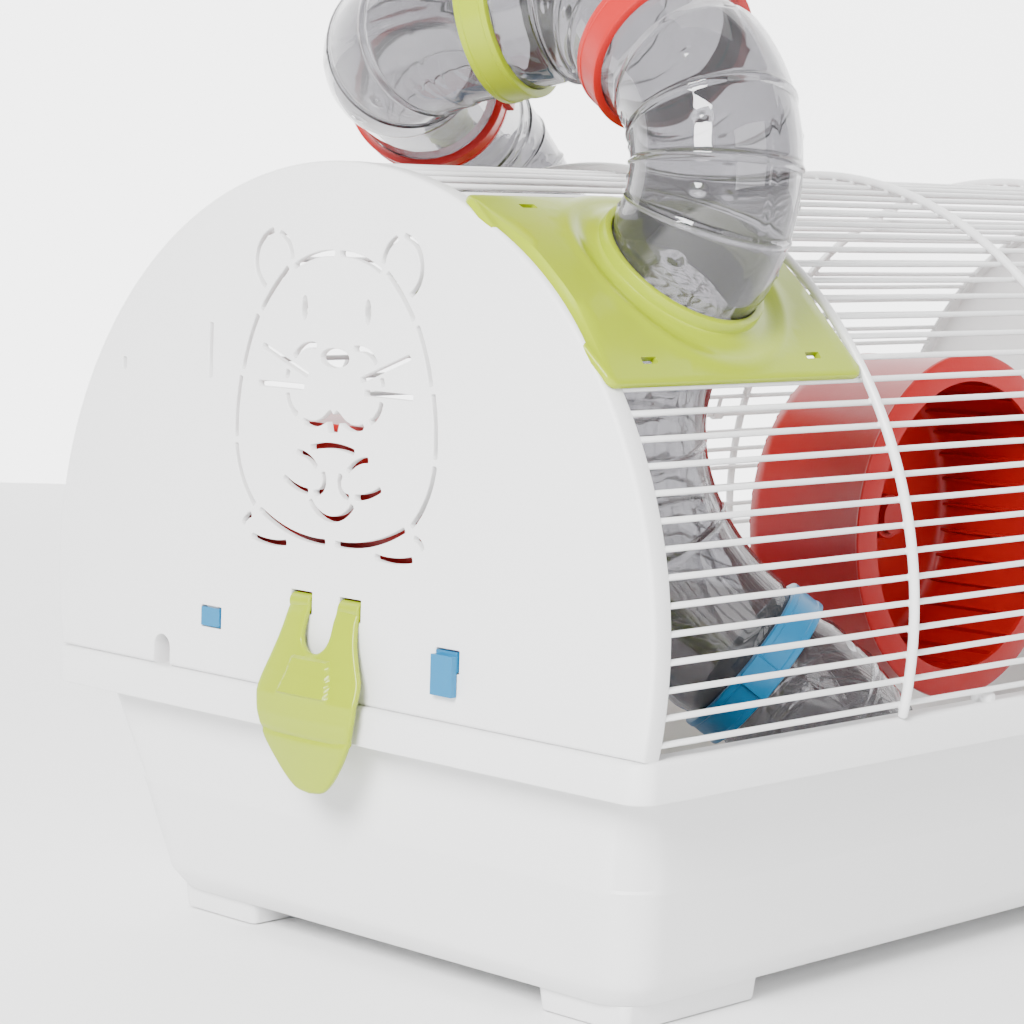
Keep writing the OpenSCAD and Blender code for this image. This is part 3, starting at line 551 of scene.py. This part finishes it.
def clip(name, body, node, turn):
    made = Shell()

    def place(yz, drop):
        d = clip_front(yz[:, 0], yz[:, 1]) - drop
        return np.stack([turn * (-END_X - d), turn * yz[:, 0], TRAY_H + yz[:, 1]], -1)

    ring = clip_outline()
    inner = pull_in(ring, CLIP_LIP)
    lattice = np.stack(np.meshgrid(np.arange(-23, 24, 0.8), np.arange(-30, 34, 0.8)), -1).reshape(-1, 2)
    lattice = lattice[inside(lattice, [pull_in(ring, 1.7)])]
    at, faces = skin([inner], lattice)
    made.add(place(at, 0), faces)
    made.add(place(at, CLIP_T), faces)
    rounds = [(0.35, 0.12), (0.08, 0.45), (0, 0.9), (0, 1.5), (0.2, 2.0)]
    rows = [place(pull_in(ring, by), drop) for by, drop in rounds]
    made.grid(np.stack([place(inner, 0)] + rows + [place(inner, CLIP_T)]), wrap=True)
    for s in (-1, 1):
        pin = (-END_X + PIN_IN, TRAY_H + CLIP_Z)
        rows = []
        a = np.linspace(0, 2 * np.pi, 25)
        for y, r in ((7.1, 1.6), (7.1, 2.5), (7.5, 2.9), (16.5, 2.9), (16.9, 2.5), (16.9, 1.6), (7.1, 1.6)):
            x, z = pin[0] + r * np.cos(a), pin[1] + r * np.sin(a)
            rows.append(np.stack([turn * x, turn * s * y + 0 * a, z], -1))
        made.grid(np.stack(rows))
    hook = [((-END_X + 0.4, -END_X - 6.4), (-16.3, -14)), ((-END_X + 0.6, -END_X - 7), (-16.5, -13.6))]
    rows = []
    for y, k in ((-11.8, 0), (-11.4, 1), (11.4, 1), (11.8, 0)):
        (x0, x1), (z0, z1) = hook[k]
        corners = ((x0, z0), (x0, z1), (x1, z1), (x1, z0))
        rows.append([(turn * x, turn * y, TRAY_H + z) for x, z in corners])
    made.grid(np.array(rows), wrap=True, ends=True)
    return made.build(name, lime, body, [node])


lime = moulded("lime plastic", (0.30, 0.38, 0.0005), (0.26, 0.33, 0.0005), rough=0.27)
clip("front_clip", "front_clip", "clip_front", 1)
clip("rear_clip", "rear_clip", "clip_rear", -1)

# ---------------------------------------------------------------- Roof plates
# Two curved lime plates that close a gap in the bars, each with a flared collar for a
# tunnel, four small slots and a rolled edge.
PLATE_GAP, PLATE_T, COLLAR_R, COLLAR_H, BORE_R = 0.4, 2.5, 29.6, 6.0, 27.2
PLATE_FROM, PLATE_TO, FLARE_R, SLEEVE_FOOT = 23.5, 57.5, 43.0, -1.4


def roof_plate(name, node, x0, x1, px, side):
    made = Shell()
    a0, a1 = PLATE_FROM - PORT_TILT, PLATE_TO - PORT_TILT

    def place(xs, h):
        """(x, arc length s) at height h over the arch: radius R + h, angle s / R from the port."""
        h = np.broadcast_to(np.asarray(h, float), len(xs))
        a = np.radians(PORT_TILT) + xs[:, 1] / ARCH_R
        y, z = side * -(ARCH_R + h) * np.sin(a), TRAY_H + ARCH_UP + (ARCH_R + h) * np.cos(a)
        return np.stack([xs[:, 0], y, z], -1)

    def around(rho, up):
        """A circle rho from the port's axis and up beyond the arch's radius."""
        t = np.linspace(0, 2 * np.pi, 72, endpoint=False)
        out, across = np.radians(PORT_TILT), rho * np.sin(t)
        y = np.sin(out) * (ARCH_R + up) + np.cos(out) * across
        z = np.cos(out) * (ARCH_R + up) - np.sin(out) * across
        return np.stack([px + rho * np.cos(t), side * -y, TRAY_H + ARCH_UP + z], -1)

    def flat(rho):
        """The same circle laid on the plate, as (x, s)."""
        t = np.linspace(0, 2 * np.pi, 72, endpoint=False)
        return np.stack([px + rho * np.cos(t), ARCH_R * np.arcsin(rho * np.sin(t) / (ARCH_R + 2))], -1)

    s0, s1 = np.radians(a0) * ARCH_R, np.radians(a1) * ARCH_R
    mid, size = ((x0 + x1) / 2, (s0 + s1) / 2), (x1 - x0, s1 - s0)

    def edge(inset):
        return loop(size[0] - 2 * inset, size[1] - 2 * inset, 4 - inset * 0.8, 0, mid, 6)[:, :2]

    slots = [window(mid[0] + sx * (size[0] / 2 - 22), s, 7, 2.4, 0.4)
             for sx in (-1, 1) for s in (s0 + 8.2, s1 - 8.2)]
    low, high = PLATE_GAP, PLATE_GAP + PLATE_T
    lattice = np.meshgrid(np.arange(x0 + 4, x1 - 2, 5), np.arange(s0 + 4, s1 - 2, 5))
    lattice = np.stack(lattice, -1).reshape(-1, 2)
    lattice = lattice[inside(lattice, [edge(2.4), flat(FLARE_R + 1.5)] + slots)]
    for inset, hole, h in ((1.3, FLARE_R, high), (1.0, FLARE_R - 1, low)):
        at, faces = skin([edge(inset), flat(hole)] + slots, lattice)
        made.add(place(at, h), faces)
    for s in slots:
        made.grid(np.stack([place(s, high), place(s, low)]), wrap=True)
    rounds = [(1.3, high), (0.6, high - 0.2), (0.15, high - 0.7), (0, high - 1.3), (0, low + 0.3), (1.0, low)]
    made.grid(np.stack([place(edge(inset), h) for inset, h in rounds]), wrap=True)
    # The flare climbs from the plate to the collar's lip, then the sleeve goes down inside
    start, lip = place(flat(FLARE_R), high), around(COLLAR_R + 2.0, COLLAR_H - 4.8)
    rows = [start]
    for k in (0.12, 0.3, 0.5, 0.7, 0.88, 1.0):
        ease = k + 0.09 * np.sin(2 * np.pi * k)
        rows.append(start * (1 - k) + lip * k + (ease - k) * (around(0.001, 9) - around(0.001, 0)))
    sleeve = [(COLLAR_R + 0.9, COLLAR_H - 4.5), (COLLAR_R + 0.4, COLLAR_H - 3.9),
              (COLLAR_R + 0.3, COLLAR_H - 0.9), (COLLAR_R, COLLAR_H - 0.25), (COLLAR_R - 0.8, COLLAR_H),
              (BORE_R + 0.7, COLLAR_H), (BORE_R + 0.2, COLLAR_H - 0.2), (BORE_R, COLLAR_H - 0.8),
              (BORE_R, -6.8), (BORE_R + 0.2, -7), (COLLAR_R - 0.2, -7), (COLLAR_R, -6.8),
              (COLLAR_R, SLEEVE_FOOT)]
    rows += [around(rho, up) for rho, up in sleeve]
    under = place(flat(FLARE_R - 1), low)
    rows += [under * 0.45 + around(COLLAR_R, SLEEVE_FOOT) * 0.55, under]
    made.grid(np.stack(rows), wrap=True)
    return made.build(name, lime, "cage", [node])


PORT_X, FAR_X = -188.525, -57.425
roof_plate("near_roof_plate", "port_plate_near", -252.3, -128.55, PORT_X, 1)
roof_plate("far_roof_plate", "port_plate_far", -123.95, -2.3, FAR_X, -1)

# ---------------------------------------------------------------- Clear tunnels
# Six blow-moulded clear tunnels: swollen bends with a rib every 22.5 degrees, a seam along
# the inside and outside of the bend, breathing pips between the ribs, and straight ends.
TUBE_R, WALL, SWELL, ELBOW_R = 27.0, 1.8, 0.8, 42.0
RIB_STEP, RIB_UP, RIB_HALF = 22.5, 0.8, 0.7


def heading(h, climb):
    """The unit vector at h degrees round from +X, rising at climb degrees."""
    h, climb = math.radians(h), math.radians(climb)
    return np.array([math.cos(climb) * math.cos(h), math.cos(climb) * math.sin(h), math.sin(climb)])


def turn_of(a, b):
    """The angle between two unit vectors."""
    return math.acos(float(np.clip(a @ b, -1, 1)))


def past(p, a, b, r):
    """Where an arc of radius r that leaves p along a ends, once it runs along b."""
    return p + r * math.tan(turn_of(a, b) / 2) * (a + b)


def off(phi, at):
    """The angle from at to phi, the short way round."""
    return np.angle(np.exp(1j * (phi - at)))


def tunnel(name, node, p, a, b, r, l0, l1, first_rib=RIB_STEP):
    """Skins swept along a straight, an arc of radius r from a to b, and a straight."""
    angle = turn_of(a, b)
    e = b - (a @ b) * a
    e /= np.linalg.norm(e)
    k = np.cross(a, e)
    q = past(p, a, b, r)
    stations = [(p - s * a, a, e, -s) for s in np.linspace(l0, 0, max(4, int(l0 / 2)))[:-1]]
    for th in np.linspace(0, angle, int(math.degrees(angle) / 0.7)):
        d = math.cos(th) * a + math.sin(th) * e
        n = -math.sin(th) * a + math.cos(th) * e
        stations.append((p + r * (1 - math.cos(th)) * e + r * math.sin(th) * a, d, n, th * r))
    n = -math.sin(angle) * a + math.cos(angle) * e
    stations += [(q + s * b, b, n, angle * r + s) for s in np.linspace(0, l1, max(4, int(l1 / 2)))[1:]]
    total = angle * r
    phi = np.linspace(0, 2 * np.pi, 120, endpoint=False)
    step = math.radians(RIB_STEP)
    ribs = np.arange(math.radians(first_rib), angle - 0.12, step) * r
    pips = [((m + 0.5) * step * r, f) for m in range(int(angle / step)) for f in (0.9, 2.24, 4.04, 5.38)]
    outer, inner = [], []
    for c, d, n, s in stations:
        swell = SWELL * np.clip(min(s, total - s) / 3.0, 0, 1)
        rib = sum((RIB_UP * math.exp(-((s - m) / RIB_HALF) ** 2) for m in ribs), 0.0)
        seam = 0.3 * (np.exp(-(off(phi, 0) / 0.03) ** 2) + np.exp(-(off(phi, np.pi) / 0.03) ** 2))
        in_bend = 0 <= s <= total
        pip = 0 * phi
        for m, f in pips if in_bend else ():
            along = (s - m) * (1 - np.cos(phi) * TUBE_R / r)
            pip = pip + 0.7 * np.exp(-(along ** 2 + (TUBE_R * off(phi, f)) ** 2) / 1.9)
        rad = TUBE_R + swell + rib + seam * (1 if in_bend else 0.5) + pip
        side = np.cross(d, n)
        ray = np.cos(phi)[:, None] * n + np.sin(phi)[:, None] * side
        outer.append(c + rad[:, None] * ray)
        inner.append(c + (TUBE_R - WALL + swell - 0.5 * rib - 0.3 * pip)[:, None] * ray)
    made = Shell()
    tip, foot = outer[-1] * 0.5 + inner[-1] * 0.5, outer[0] * 0.5 + inner[0] * 0.5
    made.grid(np.stack(outer + [tip] + inner[::-1] + [foot, outer[0]]), wrap=True)
    return made.build(name, clear, "cage", [node], 50)


def clear_plastic():
    """Clear plastic, a little smoky, with drawn flow lines and faint haze."""
    look = Look("clear plastic", Transmission_Weight=0.93, IOR=1.46, Specular_IOR_Level=0.6)
    flow = look.noise(30, 3, 0.6)
    haze = look.between(0.5, 0.8, look.noise(70, 5, 0.65), 1.0)
    look.drive("Base Color", look.blend(flow, (0.43, 0.425, 0.44), (0.37, 0.365, 0.385)))
    look.drive("Roughness", 0.012 + haze * 0.05)
    return look.bump(flow, 0.0002)


clear = clear_plastic()
out_near = np.array([0, -math.sin(math.radians(PORT_TILT)), math.cos(math.radians(PORT_TILT))])
out_far = out_near * (1, -1, 1)
go_1, go_2, go_3 = heading(78.3, 32.7), heading(107.5, -11.9), heading(34, -10.3)
lift = ARCH_R + COLLAR_H + 0.4
axis_z = np.array([0, 0, TRAY_H + ARCH_UP])
near_start = axis_z + (PORT_X, 0, 0) + lift * out_near
STRAIGHT_1, STRAIGHT_2, STRAIGHT_3 = 30.7192, 38.5289, 89.6481
RING_GAP, BEND_R, FLOOR_R = 0.1, 97, 48
p1 = past(near_start, out_near, go_1, ELBOW_R)
p2 = p1 + STRAIGHT_1 * go_1
p3 = past(p2, go_1, go_2, ELBOW_R)
p4 = p3 + STRAIGHT_2 * go_2
p5 = past(p4, go_2, go_3, ELBOW_R)
p6 = p5 + STRAIGHT_3 * go_3
in_0, in_1, in_2 = -out_near, heading(-46, -37), heading(22, -36)
in_start = axis_z + (PORT_X, 0, 0) + (ARCH_R - 8) * out_near
q1 = past(in_start, in_0, in_1, BEND_R)
q2 = q1 + 16 * in_1
half_1, half_2, half_3 = (s / 2 - RING_GAP for s in (STRAIGHT_1, STRAIGHT_2, STRAIGHT_3))
tunnel("near_elbow", "tunnel_near_elbow", near_start, out_near, go_1, ELBOW_R, 12.1, half_1)
tunnel("top_elbow", "tunnel_top_elbow", p2, go_1, go_2, ELBOW_R, half_1, half_2)
tunnel("far_elbow", "tunnel_far_elbow", p4, go_2, go_3, ELBOW_R, half_2, half_3)
tunnel("port_elbow", "tunnel_port_elbow", p6, go_3, -out_far, ELBOW_R, half_3, 15)
tunnel("inner_bend", "tunnel_inner_bend", in_start, in_0, in_1, BEND_R, 1.9, 7.9, 11)
tunnel("floor_end", "tunnel_floor_end", q2, in_1, in_2, FLOOR_R, 7.9, 50)

# ---------------------------------------------------------------- Connector rings
# Four rings of moulded plastic, red, lime and blue, that hold the tunnels end to end.
# Each is pushed over the two tubes it joins and has rolled edges and a raised latch tab.

# Distance along the tunnel and radius, round the ring's wall from the bore
ring_wall = [
    (-6, 27.3), (-6, 29.2), (-5.7, 29.9), (-5.2, 30), (-3.8, 29.95), (-3.5, 29.6), (3.5, 29.6), (3.8, 29.95),
    (5.2, 30), (5.7, 29.9), (6, 29.2), (6, 27.3), (5.6, 27.15), (-5.6, 27.15), (-6, 27.3)]


def connector(name, node, at, d, look):
    e = np.cross(d, (0, 0, 1))
    e /= np.linalg.norm(e)
    f = np.cross(d, e)
    made = Shell()
    t = np.linspace(0, 2 * np.pi, 97)
    rows = [at + s * d + r * (np.cos(t)[:, None] * e + np.sin(t)[:, None] * f) for s, r in ring_wall]
    made.grid(np.stack(rows))
    tab = []
    for r, half, long in ((29.2, 5.5, 5.9), (31.2, 5.5, 5.9), (31.9, 5.2, 5.6), (32.1, 4.6, 5.0)):
        corners = ((-half, -long), (half, -long), (half, long), (-half, long))
        tab.append([at + r * e + y * f + s * d for y, s in corners])
    made.grid(np.array(tab), wrap=True, ends=True)
    return made.build(name, look, "cage", [node])


red = moulded("red plastic", (0.46, 0.014, 0.013), (0.39, 0.010, 0.010), rough=0.3)
blue = moulded("blue plastic", (0.006, 0.16, 0.33), (0.004, 0.12, 0.26), rough=0.3)
connector("near_ring", "ring_near", (p1 + p2) / 2, go_1, red)
connector("top_ring", "ring_top", (p3 + p4) / 2, go_2, lime)
connector("far_ring", "ring_far", (p5 + p6) / 2, go_3, red)
connector("inner_ring", "ring_inner", (q1 + q2) / 2, in_1, blue)

# ---------------------------------------------------------------- Exercise wheel
# A deep drum of moulded red plastic, closed at the back, with a rolled front flange and
# slats to run on. Its hub turns freely on the fixed axle of the stand behind it.
WHEEL_AT, SLAT_N = (50.0, -40.0, 137.6), 36
wheel = Shell()


def turned(profile):
    """A ring turned round the wheel's axle from (depth, radius) points."""
    t = np.linspace(0, 2 * np.pi, 145)
    rows = [[WHEEL_AT[0] + r * np.cos(t), WHEEL_AT[1] + y + 0 * t, WHEEL_AT[2] + r * np.sin(t)]
            for y, r in profile]
    return np.stack([np.stack(row, -1) for row in rows])


wheel.grid(turned([
    (0, 57.2), (0, 67.3), (0.4, 68.2), (1.1, 68.5), (1.8, 68.2), (2.2, 67.4), (2.6, 66.3), (4, 65.6),
    (52, 65.4), (57, 64.4), (59, 62.4), (60, 59), (60, 9), (60, 3.1), (38.2, 3.1), (38, 3.4), (38, 8.6),
    (38.4, 9), (56.6, 9.2), (57.6, 10.6), (57.8, 12), (57.8, 58), (57, 61), (55, 62.8), (51, 63.3),
    (4, 63.5), (2.6, 62.8), (2.2, 61.6), (2.1, 57.4), (0, 57.2)]))
slat = ((61.4, -0.55), (63.8, -0.9), (63.8, 0.9), (61.4, 0.55))
for k in range(SLAT_N):
    a = k * np.pi / 18
    out = np.array([math.cos(a), 0, math.sin(a)])
    over = np.array([-math.sin(a), 0, math.cos(a)])
    rows = [[np.array(WHEEL_AT) + out * r + over * s + (0, y, 0) for r, s in slat] for y in (1.8, 58)]
    wheel.grid(np.array(rows), wrap=True, ends=True)
wheel.build("wheel", red, "wheel", ["wheel_drum"])

# ---------------------------------------------------------------- Shelf, house, ladder and wheel stand
# Plain mouldings inside the cage, in blue, red, lime and white plastic: the shelf hooks into
# the front panel and carries the house, the ladder hangs from its arm, and the axle is
# pressed into the stand. They are the CAD shapes with softened edges.


def soften(node, look, width=0.0005):
    """Gives a CAD node its plastic and rounds its edges by width, in metres."""
    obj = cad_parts[node]
    obj.data.materials.clear()
    obj.data.materials.append(look.material)
    round_off = obj.modifiers.new("soft edges", "BEVEL")
    round_off.width = width
    round_off.segments = 2
    round_off.limit_method = "ANGLE"
    round_off.angle_limit = math.radians(40)


soften("shelf", blue)
soften("nest_house", red, 0.0006)
soften("house_roof", red, 0.0006)
soften("ladder", lime, 0.0006)
soften("wheel_axle", red)
soften("wheel_stand", white_panel, 0.0006)

# ---------------------------------------------------------------- Floor, light and camera
# A plain pale floor with a glowing pale backdrop behind the cage, soft light from the side,
# the front and above, and the viewing angle. None of it is part of the cage.
scene = bpy.context.scene


def sheet(name, corners, look):
    """One flat face through its corners, staged round the cage."""
    mesh = bpy.data.meshes.new(name)
    mesh.from_pydata(corners, [], [(0, 1, 2, 3)])
    mesh.materials.append(look.material)
    obj = bpy.data.objects.new(name, mesh)
    scene.collection.objects.link(obj)


pale = Look("floor", Specular_IOR_Level=0.2)
pale.drive("Base Color", pale.blend(pale.noise(3, 4), (0.93, 0.93, 0.93), (0.90, 0.90, 0.90)))
pale.drive("Roughness", 0.6 + pale.noise(40) * 0.2)
sheet("floor", [(-6, -6, -0.0004), (6, -6, -0.0004), (6, 6, -0.0004), (-6, 6, -0.0004)], pale)
glow = Look("backdrop", Emission_Strength=2.6)
glow.drive("Emission Color", glow.blend(glow.noise(2, 3), (1.0, 1.0, 1.0), (0.97, 0.97, 0.97)))
sheet("backdrop", [(4.2, -2.2, -0.5), (-2.2, 4.2, -0.5), (-2.2, 4.2, 4), (4.2, -2.2, 4)], glow)

world = bpy.data.worlds.new("studio")
world.use_nodes = True
world.node_tree.nodes["Background"].inputs["Color"].default_value = (1, 1, 1, 1)
world.node_tree.nodes["Background"].inputs["Strength"].default_value = 0.36
scene.world = world


def stand(obj, at, side, over, back):
    """Puts obj at a point, with its own x, y and z along side, over and back."""
    rows = zip(np.stack([side, over, back], 1).tolist(), at)
    obj.matrix_world = Matrix([[*row, w] for row, w in rows] + [[0, 0, 0, 1]])


def softbox(name, at, target, size, power):
    """A rectangular lamp at a point, turned to face its target."""
    light = bpy.data.lights.new(name, "AREA")
    light.shape = "RECTANGLE"
    light.size, light.size_y = size
    light.energy = power
    obj = bpy.data.objects.new(name, light)
    way = np.array(target, float) - np.array(at, float)
    way /= np.linalg.norm(way)
    side = np.cross(way, (0, 0, 1))
    side /= np.linalg.norm(side)
    stand(obj, at, side, np.cross(side, way), -way)
    scene.collection.objects.link(obj)


softbox("key", (-2.3, -0.9, 1.5), (0, 0, 0.15), (1.0, 1.0), 200)
softbox("fill", (-0.2, -2.6, 0.9), (0, 0, 0.15), (2.0, 1.4), 36)
softbox("top", (0.3, 0.4, 2.6), (0, 0, 0.1), (2.0, 2.0), 16)

yaw, down, roll = map(math.radians, (43.662, 2.064, 1.652))
ahead = np.array([math.cos(down) * math.cos(yaw), math.cos(down) * math.sin(yaw), -math.sin(down)])
right = np.cross(ahead, (0, 0, 1))
right /= np.linalg.norm(right)
upward = np.cross(right, ahead)
rolled = math.cos(roll) * right + math.sin(roll) * upward
upward = -math.sin(roll) * right + math.cos(roll) * upward
camera = bpy.data.objects.new("camera", bpy.data.cameras.new("camera"))
stand(camera, (-0.905, -0.7261, 0.2644), rolled, upward, -ahead)
camera.data.sensor_width = 36
camera.data.lens = 103.86
camera.data.shift_x = -0.0469
camera.data.shift_y = -0.2075
scene.collection.objects.link(camera)
scene.camera = camera
